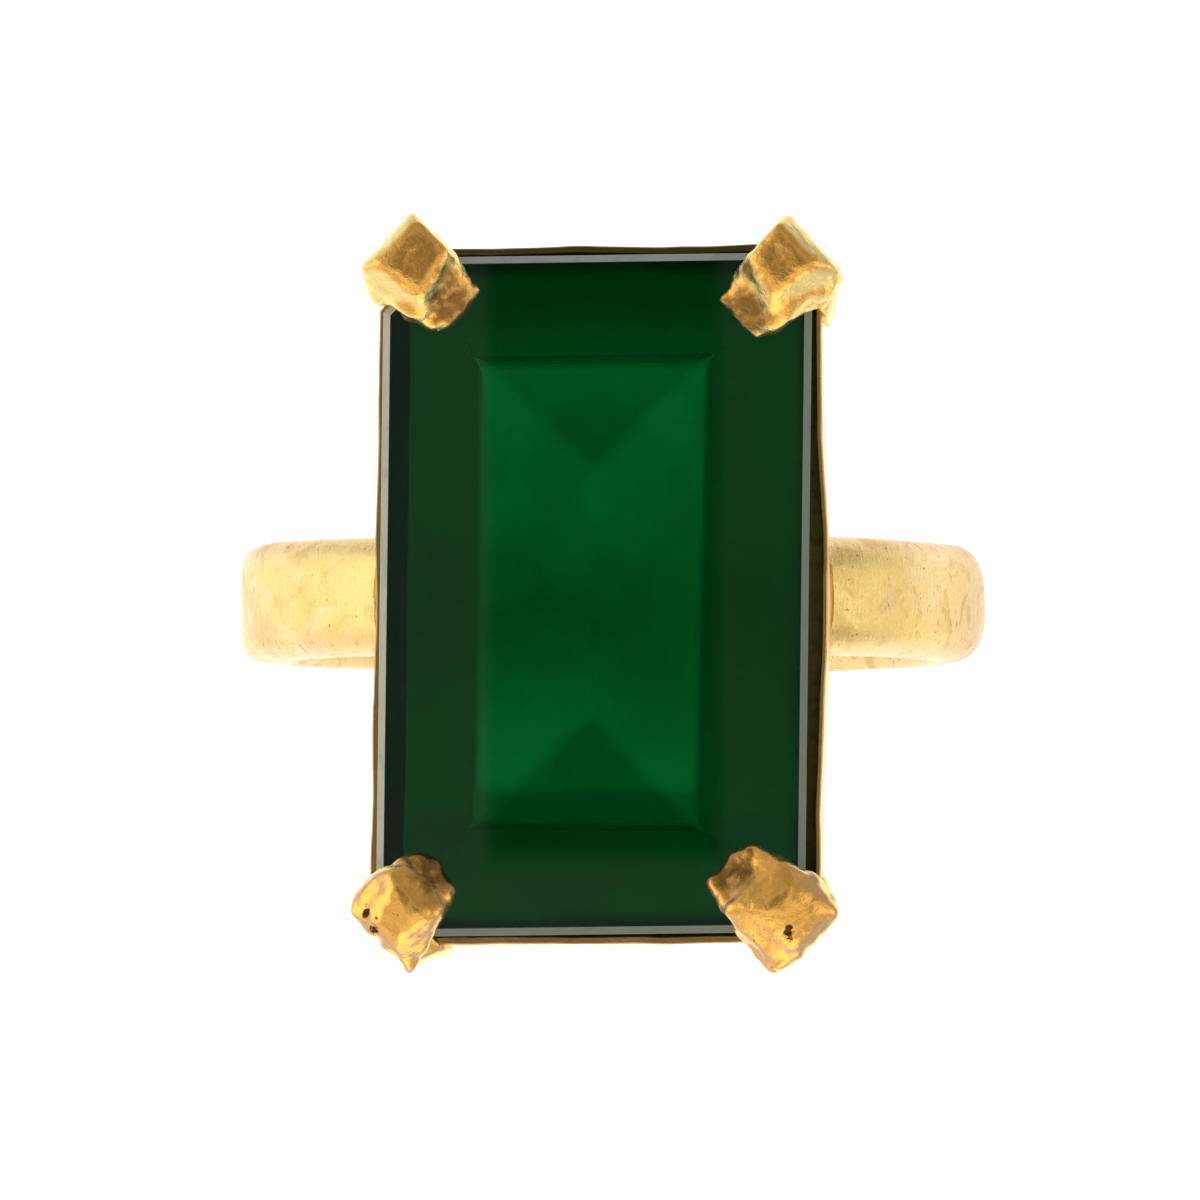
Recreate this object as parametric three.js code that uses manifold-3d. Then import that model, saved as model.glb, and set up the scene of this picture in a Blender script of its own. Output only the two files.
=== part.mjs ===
// Cocktail ring: an oblong step-cut green stone in a deep open-backed collet, four corner claws
// and a plain D-section shank. Millimetres. The origin is the centre of the finger hole, +Y runs
// along the finger (and along the stone), +Z points from the finger to the stone, X runs across.
import * as THREE from 'three';
import { ConvexGeometry } from 'three/addons/geometries/ConvexGeometry.js';
import { mergeVertices } from 'three/addons/utils/BufferGeometryUtils.js';
import Module from 'manifold-3d';

const wasm = await Module();
wasm.setup();

// Clearance left between neighbouring pieces.
const FIT = 0.02;

// Finger hole and shank.
const FINGER_R = 8.65;
const SHANK_T = 1.5;
const SHANK_HALF_WIDTH = 1.58;
const SHANK_SQUARENESS = 3.2;
const SHANK_EDGE_ROUND = 0.14;
const SHANK_SECTION_STEPS = 14;
const SHANK_TURN_STEPS = 90;

// Stone: half sizes at the girdle, corner cut, and the heights of its steps.
const STONE_HALF_X = 5.65;
const STONE_HALF_Y = 8.95;
const CORNER_CUT = 1.45;
const LEAST_CUT = 0.02;
const TABLE_Z = 13.0;
const BEVEL = 0.19;
const GIRDLE_TOP_Z = 12.8;
const GIRDLE_Z = 12.64;
const STEEP_STEP = 2.6;
const HIP_Z = 10.22;
const KEEL_Z = 9.0;
const KEEL_HALF = 3.3;

// Collet: a thin octagonal wall round the stone, arched underneath to clear the finger.
const WALL = 0.22;
const RIM_Z = 12.5;
const RIM_BEVEL = 0.06;
const COLLET_FOOT_Z = 5.6;
const FINGER_STEPS = 120;

// Bearer: the ledge inside the collet that the stone sits on.
const BEARER_WIDTH = 0.6;
const BEARER_TOP_Z = 12.0;
const BEARER_H = 0.55;

// Claws. D is the distance outwards along the diagonal from the claw's seat, a point inset by the
// same amount from two sides of the stone.
const CLAW_SEAT_INSET = 1.0;
const CLAW_SIDE_SHIFT = 0.2;
const CORNER_D = (CLAW_SEAT_INSET - CORNER_CUT / 2) * Math.SQRT2;
const HEAD_OUTER_D = 1.46;
const HEAD_HALF_WIDTH = 0.97;
const HEAD_NOSE_D = -0.52;
const HEAD_NOSE_HALF_WIDTH = 0.62;
const HEAD_TAPER_D = 0.3;
const HEAD_TOP_Z = 14.2;
const HEAD_TOP_SLOPE = 0.15;
const HEAD_BRIM_Z = 13.7;
const HEAD_OUTER_CHAMFER = 0.35;
const HEAD_NOSE_CHAMFER = 0.3;
const HEAD_NOSE_UNDERCUT = 0.1;
const HEAD_FOOT_DROP = 0.5;
const LIP_D = -1.0;
const LIP_TOP_Z = 13.32;
const LIP_ROUND = 0.12;
const LIP_HALF_WIDTH = 0.8;
const LIP_END_HALF_WIDTH = 0.5;
const LIP_ROOT_D = 0.4;
const POST_FOOT_Z = 7.5;
const POST_FOOT_TAPER = 1.2;
const POST_TOP_Z = 12.75;
const POST_TOP_SLOPE = 0.1;
const POST_PROUD = 0.05;
const POST_OUTER_HALF_WIDTH = 0.95;
const POST_INNER_D = 0.3;
const POST_INNER_HALF_WIDTH = 1.5;

// Solder fillets where the shank's ends meet the collet.
const FILLET_RISE = 0.55;
const FILLET_REACH = 0.5;
const FILLET_HALF_WIDTH = 0.95;
const FILLET_DROP = 0.25;
const FILLET_END_REACH = 0.06;
const FILLET_STEPS = 8;

// Longer than the ring in every direction, for pieces that only cut others.
const CUTTER = 40;

const gold = (name) => new THREE.MeshStandardMaterial({
  name, color: 0xe0b060, roughness: 0.3, metalness: 1.0,
});
const solder = (name) => new THREE.MeshStandardMaterial({
  name, color: 0xc88a2a, roughness: 0.4, metalness: 1.0,
});
const green = (name) => new THREE.MeshStandardMaterial({
  name, color: 0x06451f, roughness: 0.06, metalness: 0.0,
});

function toSolid(geometry) {
  const bare = new THREE.BufferGeometry();
  bare.setAttribute('position', geometry.getAttribute('position').clone());
  if (geometry.index) bare.setIndex(geometry.index.clone());
  const merged = mergeVertices(bare, 1e-5);
  return new wasm.Manifold(new wasm.Mesh({
    numProp: 3,
    vertProperties: new Float32Array(merged.getAttribute('position').array),
    triVerts: new Uint32Array(merged.index.array),
  }));
}

function toGeometry(solid) {
  const mesh = solid.getMesh();
  const geometry = new THREE.BufferGeometry();
  geometry.setAttribute('position', new THREE.BufferAttribute(mesh.vertProperties, 3));
  geometry.setIndex(new THREE.BufferAttribute(mesh.triVerts, 1));
  geometry.computeVertexNormals();
  return geometry;
}

// The corners of an oblong with cut corners, offset outwards by `out` from the stone's girdle.
function octagon(out) {
  const x = STONE_HALF_X + out;
  const y = STONE_HALF_Y + out;
  const cut = Math.max(LEAST_CUT, CORNER_CUT + out * (2 - Math.SQRT2));
  return [
    [x, y - cut], [x - cut, y], [cut - x, y], [-x, y - cut],
    [-x, cut - y], [cut - x, -y], [x - cut, -y], [x, cut - y],
  ].map(([px, py]) => new THREE.Vector2(px, py));
}

function octagonRing(outer, inner, foot, top, bevel = 0) {
  const shape = new THREE.Shape(octagon(outer - bevel));
  shape.holes.push(new THREE.Path(octagon(inner + bevel)));
  const settings = { depth: top - foot - 2 * bevel, steps: 1, bevelEnabled: bevel > 0 };
  if (bevel > 0) Object.assign(settings, { bevelThickness: bevel, bevelSize: bevel, bevelSegments: 1 });
  return new THREE.ExtrudeGeometry(shape, settings).translate(0, 0, foot + bevel);
}

function polygon(points) {
  return new THREE.Shape(points.map(([x, y]) => new THREE.Vector2(x, y)));
}

// A flat outline drawn in X and Z, given a thickness along Y and centred on Y = 0.
function slab(outline, width) {
  const settings = { depth: width, steps: 1, bevelEnabled: false };
  return new THREE.ExtrudeGeometry(polygon(outline), settings)
    .translate(0, 0, -width / 2)
    .rotateX(Math.PI / 2);
}

// A flat outline drawn in X and Y, raised from `foot` to `top`.
function prism(outline, foot, top) {
  const settings = { depth: top - foot, steps: 1, bevelEnabled: false };
  return new THREE.ExtrudeGeometry(polygon(outline), settings).translate(0, 0, foot);
}

function stoneGeometry() {
  const levels = [
    [-BEVEL, TABLE_Z],
    [0, GIRDLE_TOP_Z],
    [0, GIRDLE_Z],
    [-STEEP_STEP, HIP_Z],
  ];
  const points = levels.flatMap(([out, z]) => octagon(out).map((p) => new THREE.Vector3(p.x, p.y, z)));
  points.push(new THREE.Vector3(0, KEEL_HALF, KEEL_Z), new THREE.Vector3(0, -KEEL_HALF, KEEL_Z));
  return new ConvexGeometry(points);
}

function colletGeometry() {
  const wall = toSolid(octagonRing(FIT + WALL, FIT, COLLET_FOOT_Z, RIM_Z, RIM_BEVEL));
  const finger = toSolid(new THREE.CylinderGeometry(FINGER_R, FINGER_R, CUTTER, FINGER_STEPS));
  return toGeometry(wall.subtract(finger));
}

// Half of the shank's section, from the inside edge out and over the dome to the other edge.
function shankSection() {
  const half = SHANK_HALF_WIDTH;
  const round = SHANK_EDGE_ROUND;
  const points = [new THREE.Vector2(FINGER_R, -half + round), new THREE.Vector2(FINGER_R + round, -half)];
  const dome = SHANK_T - round;
  for (let i = 1; i < SHANK_SECTION_STEPS; i += 1) {
    const turn = -Math.PI / 2 + (Math.PI * i) / SHANK_SECTION_STEPS;
    const side = Math.sign(Math.sin(turn)) * Math.abs(Math.sin(turn)) ** (2 / SHANK_SQUARENESS);
    const rise = Math.cos(turn) ** (2 / SHANK_SQUARENESS);
    points.push(new THREE.Vector2(FINGER_R + round + dome * rise, half * side));
  }
  points.push(new THREE.Vector2(FINGER_R + round, half), new THREE.Vector2(FINGER_R, half - round));
  points.push(points[0].clone());
  return points;
}

function shankSolid() {
  const hoop = toSolid(new THREE.LatheGeometry(shankSection(), SHANK_TURN_STEPS));
  const gap = 2 * (STONE_HALF_X + WALL + 2 * FIT);
  const mouth = toSolid(new THREE.BoxGeometry(gap, CUTTER, CUTTER).translate(0, 0, CUTTER / 2));
  return hoop.subtract(mouth);
}

// Solder drawn up in the corner where an end of the shank meets the collet: hollow in profile,
// and running out to points along the joint.
function filletGeometry(shank) {
  const wallX = STONE_HALF_X + WALL + 2 * FIT;
  const shankTop = Math.sqrt((FINGER_R + SHANK_T) ** 2 - wallX ** 2);
  const low = shankTop - FILLET_REACH;
  const outline = [[wallX, low], [wallX + FILLET_REACH, low]];
  for (let i = 0; i <= FILLET_STEPS; i += 1) {
    const turn = (Math.PI / 2) * (i / FILLET_STEPS);
    const out = FILLET_REACH * (1 - Math.sin(turn));
    const up = (FILLET_RISE + FILLET_DROP) * (1 - Math.cos(turn)) - FILLET_DROP;
    outline.push([wallX + out, shankTop + up]);
  }
  const crescent = [[0, -FILLET_HALF_WIDTH]];
  for (let i = 0; i <= 2 * FILLET_STEPS; i += 1) {
    const along = i / FILLET_STEPS - 1;
    const reach = FILLET_END_REACH + FILLET_REACH * Math.cos((along * Math.PI) / 2);
    crescent.push([wallX + reach, along * FILLET_HALF_WIDTH]);
  }
  crescent.push([0, FILLET_HALF_WIDTH]);
  const lump = toSolid(slab(outline, CUTTER)).intersect(toSolid(prism(crescent, 0, CUTTER)));
  return toGeometry(lump.subtract(shank));
}

// An outline in D and Z made solid both ways along T, then cut to half of a plan in D and T.
function cutSlab(side, plan) {
  const across = [...plan, ...plan.map(([d, t]) => [d, -t]).reverse()];
  return toSolid(slab(side, CUTTER)).intersect(toSolid(prism(across, 0, CUTTER)));
}

function postSolid() {
  const shoulder = HEAD_OUTER_D + POST_PROUD;
  return cutSlab([
    [POST_INNER_D, POST_FOOT_Z],
    [(POST_INNER_D + shoulder) / 2, POST_FOOT_Z],
    [shoulder, POST_FOOT_Z + POST_FOOT_TAPER],
    [shoulder, POST_TOP_Z - POST_TOP_SLOPE],
    [shoulder - POST_TOP_SLOPE, POST_TOP_Z],
    [POST_INNER_D, POST_TOP_Z],
  ], [[shoulder, POST_OUTER_HALF_WIDTH], [POST_INNER_D, POST_INNER_HALF_WIDTH]]);
}

// The squared head, bent over the stone's corner.
function headSolid() {
  const behind = CORNER_D + WALL + 3 * FIT;
  const slope = HEAD_TOP_Z - HEAD_TOP_SLOPE;
  return cutSlab([
    [behind, RIM_Z - HEAD_FOOT_DROP],
    [HEAD_OUTER_D, RIM_Z - HEAD_FOOT_DROP],
    [HEAD_OUTER_D, HEAD_BRIM_Z],
    [HEAD_OUTER_D - HEAD_OUTER_CHAMFER, HEAD_TOP_Z],
    [HEAD_NOSE_D + HEAD_NOSE_CHAMFER, slope],
    [HEAD_NOSE_D, HEAD_BRIM_Z],
    [HEAD_NOSE_D + HEAD_NOSE_UNDERCUT, TABLE_Z + 2 * FIT],
    [CORNER_D - BEVEL, TABLE_Z + 2 * FIT],
    [CORNER_D + 2 * FIT, GIRDLE_TOP_Z + FIT],
    [CORNER_D + 2 * FIT, RIM_Z + FIT],
    [behind, RIM_Z + FIT],
  ], [
    [HEAD_OUTER_D, HEAD_HALF_WIDTH],
    [HEAD_TAPER_D, HEAD_HALF_WIDTH],
    [HEAD_NOSE_D, HEAD_NOSE_HALF_WIDTH],
  ]);
}

// The lip under the head's nose, lying on the stone's table.
function lipSolid() {
  return cutSlab([
    [LIP_ROOT_D, LIP_TOP_Z],
    [LIP_D + LIP_ROUND, LIP_TOP_Z - LIP_ROUND / 2],
    [LIP_D, LIP_TOP_Z - LIP_ROUND],
    [LIP_D, TABLE_Z + FIT],
    [CORNER_D - BEVEL - FIT, TABLE_Z + FIT],
    [LIP_ROOT_D, TABLE_Z + 3 * FIT],
  ], [
    [LIP_ROOT_D, LIP_HALF_WIDTH],
    [LIP_D + 2 * LIP_ROUND, LIP_HALF_WIDTH],
    [LIP_D, LIP_END_HALF_WIDTH],
  ]);
}

// One claw in its place at a corner: the post's back follows the collet's wall.
function clawGeometry(sideX, sideY) {
  const turn = THREE.MathUtils.radToDeg(Math.atan2(sideY, sideX));
  const shift = CLAW_SIDE_SHIFT / Math.SQRT2;
  const seat = [
    sideX * (STONE_HALF_X - CLAW_SEAT_INSET - shift),
    sideY * (STONE_HALF_Y - CLAW_SEAT_INSET + shift),
    0,
  ];
  const standing = (solid) => solid.rotate([0, 0, turn]).translate(seat);
  const collet = octagon(WALL + 2 * FIT).map((corner) => corner.toArray());
  const post = standing(postSolid()).subtract(toSolid(prism(collet, 0, CUTTER)));
  return toGeometry(standing(headSolid()).add(post).add(standing(lipSolid())));
}

const group = new THREE.Group();
group.name = 'cocktail_ring';

function place(name, geometry, material) {
  const mesh = new THREE.Mesh(geometry, material(name));
  mesh.name = name;
  group.add(mesh);
  return mesh;
}

place('stone', stoneGeometry(), green);
place('collet', colletGeometry(), gold);
place('bearer', octagonRing(FIT / 2, -BEARER_WIDTH, BEARER_TOP_Z - BEARER_H, BEARER_TOP_Z), gold);

const shank = shankSolid();
place('shank', toGeometry(shank), gold);
for (const [name, turn] of [['solder_right', 0], ['solder_left', Math.PI]]) {
  place(name, filletGeometry(shank), solder).rotation.z = turn;
}

place('claw_back_right', clawGeometry(1, 1), gold);
place('claw_back_left', clawGeometry(-1, 1), gold);
place('claw_front_left', clawGeometry(-1, -1), gold);
place('claw_front_right', clawGeometry(1, -1), gold);

export default group;
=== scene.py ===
import math

import bmesh
import bpy
from mathutils import Matrix, Vector, noise


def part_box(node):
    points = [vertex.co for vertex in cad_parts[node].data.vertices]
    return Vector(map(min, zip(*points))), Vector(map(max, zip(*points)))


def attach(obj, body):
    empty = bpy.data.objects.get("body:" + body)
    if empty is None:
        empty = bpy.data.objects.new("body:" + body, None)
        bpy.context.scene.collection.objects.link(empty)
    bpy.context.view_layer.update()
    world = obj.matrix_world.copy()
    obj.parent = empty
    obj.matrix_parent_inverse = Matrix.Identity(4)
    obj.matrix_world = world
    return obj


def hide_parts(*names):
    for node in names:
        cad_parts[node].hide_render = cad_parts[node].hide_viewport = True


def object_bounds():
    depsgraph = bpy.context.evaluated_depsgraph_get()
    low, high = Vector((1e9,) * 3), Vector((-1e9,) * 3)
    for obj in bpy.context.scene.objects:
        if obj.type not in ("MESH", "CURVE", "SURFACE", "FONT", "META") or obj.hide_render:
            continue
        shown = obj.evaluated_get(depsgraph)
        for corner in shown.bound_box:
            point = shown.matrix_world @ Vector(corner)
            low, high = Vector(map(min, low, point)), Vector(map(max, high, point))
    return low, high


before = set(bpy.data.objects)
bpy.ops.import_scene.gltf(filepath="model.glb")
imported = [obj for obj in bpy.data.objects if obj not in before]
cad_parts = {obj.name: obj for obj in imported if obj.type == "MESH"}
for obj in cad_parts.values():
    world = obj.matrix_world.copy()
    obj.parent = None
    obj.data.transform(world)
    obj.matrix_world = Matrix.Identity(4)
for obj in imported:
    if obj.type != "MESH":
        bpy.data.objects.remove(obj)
cad_box = [list(corner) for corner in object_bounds()]

# the unevenness of hand work is the same every time
noise.seed_set(4)

MM = 0.001


def span(node):
    """The lowest and highest corner of a node, in millimetres."""
    low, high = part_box(node)
    return Vector(low) / MM, Vector(high) / MM


STONE_LOW, STONE_HIGH = span("stone")
COLLET_HIGH = span("collet")[1]
BEARER_LOW, BEARER_HIGH = span("bearer")
SHANK_HIGH = span("shank")[1]
CLAW_LOW = span("claw_back_right")[0]
SOLDER_HIGH = span("solder_right")[1]

# Hand work leaves the head a little out of square, and a little off the shank's middle.
RACK = 0.012
HEAD_SHIFT = Vector((0, -0.13, 0))
CLAW_SHIFT = Vector((0, -0.16, 0))
STONE_SHIFT = Vector((-0.11, 0, 0))

# the stone, from its table down to the keel
HALF_X = STONE_HIGH.x
HALF_Y = STONE_HIGH.y
CORNER_CUT = 1.45
BEVEL = 0.19
TABLE_Z = STONE_HIGH.z
GIRDLE_TOP_Z = TABLE_Z - 0.2
GIRDLE_Z = TABLE_Z - 0.36
KEEL_Z = STONE_LOW.z
KEEL_HALF = 3.3
STEEP_STEP = 2.72
HIP_Z = KEEL_Z + 1.22
HIP_TRIM = Vector((0.984, 0.977, 1.0))
HIP_SHIFT = Vector((-0.12, 0.13, 0))

# the collet's wall, whose rim is hammered over towards the stone
RIM_Z = COLLET_HIGH.z
WALL_OUT = COLLET_HIGH.x - HALF_X
WALL_ROWS = 12
RIM_ROUND = 0.06
LEDGE_WIDTH = 0.6

# the shank, a hoop of one section whose ends stop at the collet
SHANK_OUT_R = SHANK_HIGH.x
SHANK_THICK = 1.5
SHANK_IN_R = SHANK_OUT_R - SHANK_THICK
SHANK_HALF = SHANK_HIGH.y
SHANK_INNER_ROUND = 0.28
SHANK_LEAN = 0.013
SHANK_OPEN_DEG = 64.0

# the claws, measured out along the corner from a seat on the stone
CLAW_SEAT_INSET = 1.0
CLAW_JOINT_D = 0.47
POST_FACE_D = 1.48
POST_FOOT_Z = CLAW_LOW.z
CLAW_BLOCK_TOP_Z = 14.4
CLAW_SPARE = 0.105
CLAW_VOXEL = 0.045
CLAW_ROUNDS = 140


# ---------------------------------------------------------------- camera

SENSOR_WIDTH = 36.0
VIEW_DISTANCE = 380.0
VIEW_WIDTH = 32.70


def set_camera():
    """Looks down on the stone from almost straight above it."""
    data = bpy.data.cameras.new("camera")
    data.sensor_width = SENSOR_WIDTH
    data.lens = SENSOR_WIDTH * VIEW_DISTANCE / VIEW_WIDTH
    data.clip_start, data.clip_end = 0.01, 10
    camera = bpy.data.objects.new("camera", data)
    bpy.context.collection.objects.link(camera)
    back = Vector((0.030, -0.030, 1)).normalized()
    right = Vector((0, 1, 0)).cross(back).normalized()
    up = back.cross(right)
    aim = Vector((-0.34, 0.11, 0)) * MM
    turn = Matrix((right, up, back)).transposed().to_4x4()
    camera.matrix_world = Matrix.Translation(aim + back * VIEW_DISTANCE * MM) @ turn
    bpy.context.scene.camera = camera


set_camera()
bpy.context.scene.view_settings.view_transform = "Standard"
bpy.context.scene.view_settings.look = "None"


# ---------------------------------------------------------------- shader tools

class Wire:
    """A socket of a material, with arithmetic that adds Math nodes."""

    def __init__(self, paint, socket):
        self.paint = paint
        self.socket = socket

    def maths(self, operation, *values):
        return self.paint.add("ShaderNodeMath", {"operation": operation}, dict(enumerate(values)))

    def __add__(self, other):
        return self.maths("ADD", self, other)

    def __radd__(self, other):
        return self.maths("ADD", other, self)

    def __sub__(self, other):
        return self.maths("SUBTRACT", self, other)

    def __rsub__(self, other):
        return self.maths("SUBTRACT", other, self)

    def __mul__(self, other):
        return self.maths("MULTIPLY", self, other)

    def __rmul__(self, other):
        return self.maths("MULTIPLY", other, self)

    def __truediv__(self, other):
        return self.maths("DIVIDE", self, other)

    def __rtruediv__(self, other):
        return self.maths("DIVIDE", other, self)

    def absolute(self):
        return self.maths("ABSOLUTE", self)

    def larger(self, other):
        return self.maths("MAXIMUM", self, other)

    def clamped(self):
        return self.maths("MINIMUM", self, 1.0).larger(0.0)

    def ease(self, start, end, low=0.0, high=1.0):
        """Goes smoothly from low at start to high at end; start may be the larger."""
        if start > end:
            start, end, low, high = end, start, high, low
        values = {"Value": self, "From Min": start, "From Max": end, "To Min": low, "To Max": high}
        return self.paint.add("ShaderNodeMapRange", {"interpolation_type": "SMOOTHSTEP"}, values)


class Paint:
    """The nodes of a material or of the world, and the one way to add to them."""

    def __init__(self, owner, output="ShaderNodeOutputMaterial"):
        self.owner = owner
        owner.use_nodes = True
        self.tree = owner.node_tree
        self.tree.nodes.clear()
        self.output = self.tree.nodes.new(output)

    @classmethod
    def new(cls, name):
        return cls(bpy.data.materials.new(name))

    def add(self, kind, settings=None, values=None, out=0):
        node = self.tree.nodes.new(kind)
        for key, value in (settings or {}).items():
            setattr(node, key, value)
        for key, value in (values or {}).items():
            if isinstance(value, Wire):
                self.tree.links.new(value.socket, node.inputs[key])
            else:
                node.inputs[key].default_value = value
        return Wire(self, node.outputs[out])

    def place(self):
        """Object coordinates in millimetres."""
        spot = self.add("ShaderNodeTexCoord", out="Object")
        return self.add("ShaderNodeVectorMath", {"operation": "SCALE"}, {0: spot, "Scale": 1 / MM})

    def split(self, vector):
        first = self.add("ShaderNodeSeparateXYZ", None, {0: vector})
        return [Wire(self, socket) for socket in first.socket.node.outputs]

    def join(self, x, y, z):
        return self.add("ShaderNodeCombineXYZ", None, {0: x, 1: y, 2: z})

    def cloud(self, vector, scale, detail=3.0, rough=0.55, twist=0.0):
        values = {"Vector": vector, "Scale": scale, "Detail": detail, "Roughness": rough, "Distortion": twist}
        return self.add("ShaderNodeTexNoise", None, values)

    def blend(self, factor, first, second):
        """A mix of two colours, the second in full where the factor is 1."""
        first, second = (tone if isinstance(tone, Wire) else colour(*tone) for tone in (first, second))
        return self.add("ShaderNodeMix", {"data_type": "RGBA"}, {0: factor, 6: first, 7: second}, out=2)

    def near(self, vector, spot):
        """Distance in millimetres from a spot."""
        return self.add("ShaderNodeVectorMath", {"operation": "DISTANCE"}, {0: vector, 1: spot}, out="Value")

    def bump(self, height, depth_mm):
        values = {"Height": height, "Strength": 1.0, "Distance": depth_mm * MM}
        return self.add("ShaderNodeBump", None, values)

    def surface(self, values, kind="ShaderNodeBsdfPrincipled"):
        shader = self.add(kind, None, values)
        self.tree.links.new(shader.socket, self.output.inputs["Surface"])
        return self.owner


def colour(r, g, b):
    return (r, g, b, 1.0)


# ---------------------------------------------------------------- metal and stone

# cream gold, for random patches and for the painted sheen along the band's edges
CREAM_GOLD_AND_PAINTED_SHEEN = (1.0, 0.76, 0.40)
PALE_GOLD = (1.0, 0.73, 0.27)
WARM_GOLD = (1.0, 0.68, 0.20)
# dull gold, for wear, random tan patches and brush strokes, and for the painted shade on the band
DULL_GOLD_AND_PAINTED_SHADE = (0.62, 0.36, 0.09)
# painted shade on the claws' faces that point straight up
UP_FACING_PAINTED_SHADE_GOLD = (1.0, 0.52, 0.115)
# painted shade, on the claws' lips and along the collet's rim
PAINTED_SHADE_BRONZE = (0.26, 0.13, 0.035)
# painted shade along the back of the collet's rim
PAINTED_SHADE_OLIVE = (0.11, 0.09, 0.028)
GRIME = (0.10, 0.045, 0.012)
SCORE_BROWN = (0.30, 0.17, 0.045)
# painted light on the back claws' leaning faces, painted shade on the front claws'
BACK_LEAN_PAINTED_LIGHT_GOLD = (1.0, 0.77, 0.30)
FRONT_LEAN_PAINTED_SHADE_GOLD = (0.73, 0.455, 0.235)


def worked_gold(
    name, brushed=False, rim_painted_shade=False, lean_painted_shading=None, painted_shade_spots=(), pits=(), dull=0.35, rough=0.26,
):
    """Hand-finished gold: patchy in tone, finely dented and specked.

    The lean colour is painted light and shade on faces that lean, next to the warmer ones that face straight
    up, which are painted a darker orange as shade.
    The painted shade spots, each (centre, radius, depth), and the pits, each (centre, radius), are in
    millimetres.
    """
    paint = Paint.new(name)
    spot = paint.place()
    patches = paint.cloud(spot, 0.55, detail=4.0, twist=0.6)
    mottle = paint.cloud(spot, 2.2, detail=5.0, rough=0.62)
    grain = paint.cloud(spot, 9.0, detail=4.0, rough=0.6)
    tone = paint.blend(patches.ease(0.35, 0.68), PALE_GOLD, WARM_GOLD)
    # painted light and shade by which way a face points: leaning faces take the lean colour, faces pointing
    # up a darker warm orange
    if lean_painted_shading:
        upward = paint.split(paint.add("ShaderNodeNewGeometry", out="Normal"))[2]
        tone = paint.blend(upward.ease(0.30, 0.60), tone, lean_painted_shading)
        tone = paint.blend(upward.ease(0.67, 0.82), tone, UP_FACING_PAINTED_SHADE_GOLD)
    # painted shade: darker bronze on each claw's lip under its nose and in the crease above it
    for centre, radius, depth in painted_shade_spots:
        ragged = paint.near(spot, centre) + (mottle - 0.5) * radius * 1.6
        tone = paint.blend(ragged.ease(radius, radius * 0.35) * depth, tone, PAINTED_SHADE_BRONZE)
    worn = mottle.ease(0.56, 0.74) * dull
    tone = paint.blend(worn, tone, DULL_GOLD_AND_PAINTED_SHADE)
    specks = paint.cloud(spot, 6.0, detail=2.0).ease(0.69, 0.76)
    height = grain * 0.5 + mottle * 1.6
    shine = rough + (mottle - 0.5) * 0.16 + specks * 0.2
    dirt = specks * 0.6
    if brushed:
        x, y, z = paint.split(spot)
        around = paint.add("ShaderNodeMath", {"operation": "ARCTAN2"}, {0: z, 1: x}) * 10.0
        strokes = paint.cloud(paint.join(around + y * 0.12, y * 0.12, 0.0), 11.0, detail=5.0, rough=0.7)
        slant = paint.join(around * 6.0 - y * 3.4, y * 1.1 + around * 0.5, 0.0)
        scored_here = paint.cloud(spot, 0.7).ease(0.46, 0.60)
        scored = paint.cloud(slant, 1.3, detail=2.0).ease(0.64, 0.72) * scored_here
        height = height * 0.6 + strokes * 1.3 - scored * 1.6
        shine = shine + (strokes - 0.5) * 0.22
        # painted sheen: the band paler towards both its edges, mixed with random cream patches
        edge = y + (mottle - 0.5) * 0.8 + 0.012 * z
        pale = edge.absolute().ease(0.95, 1.45)
        tone = paint.blend((pale * 0.65 + patches.ease(0.50, 0.66) * 0.7).clamped(), tone, CREAM_GOLD_AND_PAINTED_SHEEN)
        tanned = paint.cloud(spot, 0.9, detail=4.0, twist=0.8).ease(0.50, 0.66) * 0.42
        # painted shade: darker towards the top edge, a little towards the bottom edge, and at the right end
        shaded = y.ease(1.0, 1.5) * 0.50 + y.ease(-1.0, -1.5) * 0.18 + x.ease(8.8, 10.0) * 0.66
        tone = paint.blend((tanned + shaded).clamped(), tone, DULL_GOLD_AND_PAINTED_SHADE)
        tone = paint.blend(strokes.ease(0.55, 0.75) * 0.3, tone, DULL_GOLD_AND_PAINTED_SHADE)
        tone = paint.blend(scored * 0.7, tone, SCORE_BROWN)
    for centre, radius in pits:
        ragged = paint.near(spot, centre) + (paint.cloud(spot, 5.5, detail=3.0) - 0.5) * radius * 2.2
        hole = ragged.ease(radius, radius * 0.45)
        dirt = dirt.larger(hole)
        height = height - hole * 5.0
    # painted shade: the top of the collet wall darkened to bronze, and to olive along its back side
    if rim_painted_shade:
        x, y, z = paint.split(spot)
        rim = z.ease(RIM_Z - 0.80, RIM_Z - 0.10)
        tone = paint.blend(rim * 0.70, tone, PAINTED_SHADE_BRONZE)
        tone = paint.blend(rim * (y + x * 0.01).ease(8.6, 8.9) * (1 - specks) * 0.95, tone, PAINTED_SHADE_OLIVE)
    tone = paint.blend(dirt, tone, GRIME)
    shine = shine + dirt * 0.3
    return paint.surface({
        "Base Color": tone, "Metallic": 1.0, "Roughness": shine.clamped(),
        "Normal": paint.bump(height, 0.018),
    })


INSIDE_GOLD = (0.50, 0.30, 0.09)
# painted shade on the inner wall next to the stone
INNER_PAINTED_SHADE = (0.15, 0.125, 0.030)
DARK_SOOT = (0.07, 0.05, 0.012)
SOLDER = (0.72, 0.31, 0.030)
DARK_SOLDER = (0.44, 0.17, 0.012)


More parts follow.
